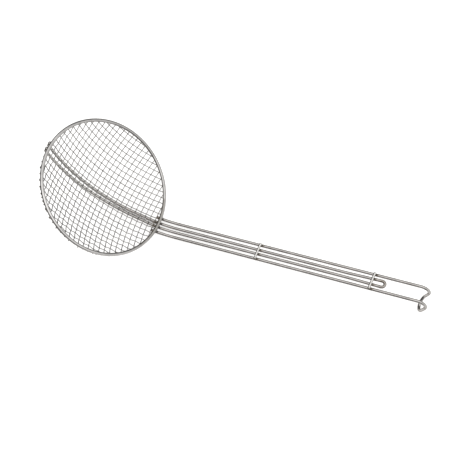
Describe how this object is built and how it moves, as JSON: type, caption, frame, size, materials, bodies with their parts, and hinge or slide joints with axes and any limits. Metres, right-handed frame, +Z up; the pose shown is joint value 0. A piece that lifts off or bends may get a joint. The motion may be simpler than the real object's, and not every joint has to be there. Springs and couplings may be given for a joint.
{
  "type": "frying strainer",
  "caption": "Shallow round dish of woven wire mesh in a wire rim, on a long double-wire handle with a bent hook, for lifting fried food out of hot oil.",
  "frame": {"origin": "on the table that the strainer lies on, under the middle of its box", "axes": "+X along the strainer from the dish to the hook, +Z up off the table, +Y to the left seen from the dish towards the hook"},
  "size_m": [0.4588, 0.165, 0.1169],
  "materials": {
    "plated_rim_wire": "bright nickel-plated steel wire, slightly dulled",
    "plated_handle_wire": "nickel-plated steel wire with drawn lines, slightly dulled",
    "plated_tie_wire": "bright nickel-plated steel wire",
    "plated_mesh_wire": "nickel-plated woven steel wire, slightly dulled"
  },
  "bodies": {
    "root": {"rim_ring": "plated_rim_wire", "outer_handle_wire": "plated_handle_wire", "inner_handle_wire": "plated_handle_wire", "middle_tie_wire": "plated_tie_wire", "end_tie_wire": "plated_tie_wire", "crosswise_mesh_wire_01": "plated_mesh_wire", "crosswise_mesh_wire_02": "plated_mesh_wire", "crosswise_mesh_wire_03": "plated_mesh_wire", "crosswise_mesh_wire_04": "plated_mesh_wire", "crosswise_mesh_wire_05": "plated_mesh_wire", "crosswise_mesh_wire_06": "plated_mesh_wire", "crosswise_mesh_wire_07": "plated_mesh_wire", "crosswise_mesh_wire_08": "plated_mesh_wire", "crosswise_mesh_wire_09": "plated_mesh_wire", "crosswise_mesh_wire_10": "plated_mesh_wire", "crosswise_mesh_wire_11": "plated_mesh_wire", "crosswise_mesh_wire_12": "plated_mesh_wire", "crosswise_mesh_wire_13": "plated_mesh_wire", "crosswise_mesh_wire_14": "plated_mesh_wire", "crosswise_mesh_wire_15": "plated_mesh_wire", "crosswise_mesh_wire_16": "plated_mesh_wire", "crosswise_mesh_wire_17": "plated_mesh_wire", "crosswise_mesh_wire_18": "plated_mesh_wire", "crosswise_mesh_wire_19": "plated_mesh_wire", "crosswise_mesh_wire_20": "plated_mesh_wire", "crosswise_mesh_wire_21": "plated_mesh_wire", "crosswise_mesh_wire_22": "plated_mesh_wire", "crosswise_mesh_wire_23": "plated_mesh_wire", "crosswise_mesh_wire_24": "plated_mesh_wire", "crosswise_mesh_wire_25": "plated_mesh_wire", "crosswise_mesh_wire_26": "plated_mesh_wire", "lengthwise_mesh_wire_01": "plated_mesh_wire", "lengthwise_mesh_wire_02": "plated_mesh_wire", "lengthwise_mesh_wire_03": "plated_mesh_wire", "lengthwise_mesh_wire_04": "plated_mesh_wire", "lengthwise_mesh_wire_05": "plated_mesh_wire", "lengthwise_mesh_wire_06": "plated_mesh_wire", "lengthwise_mesh_wire_07": "plated_mesh_wire", "lengthwise_mesh_wire_08": "plated_mesh_wire", "lengthwise_mesh_wire_09": "plated_mesh_wire", "lengthwise_mesh_wire_10": "plated_mesh_wire", "lengthwise_mesh_wire_11": "plated_mesh_wire", "lengthwise_mesh_wire_12": "plated_mesh_wire", "lengthwise_mesh_wire_13": "plated_mesh_wire", "lengthwise_mesh_wire_14": "plated_mesh_wire", "lengthwise_mesh_wire_15": "plated_mesh_wire", "lengthwise_mesh_wire_16": "plated_mesh_wire", "lengthwise_mesh_wire_17": "plated_mesh_wire", "lengthwise_mesh_wire_18": "plated_mesh_wire", "lengthwise_mesh_wire_19": "plated_mesh_wire", "lengthwise_mesh_wire_20": "plated_mesh_wire", "lengthwise_mesh_wire_21": "plated_mesh_wire", "lengthwise_mesh_wire_22": "plated_mesh_wire", "lengthwise_mesh_wire_23": "plated_mesh_wire", "lengthwise_mesh_wire_24": "plated_mesh_wire", "lengthwise_mesh_wire_25": "plated_mesh_wire"}
  },
  "joints": []
}
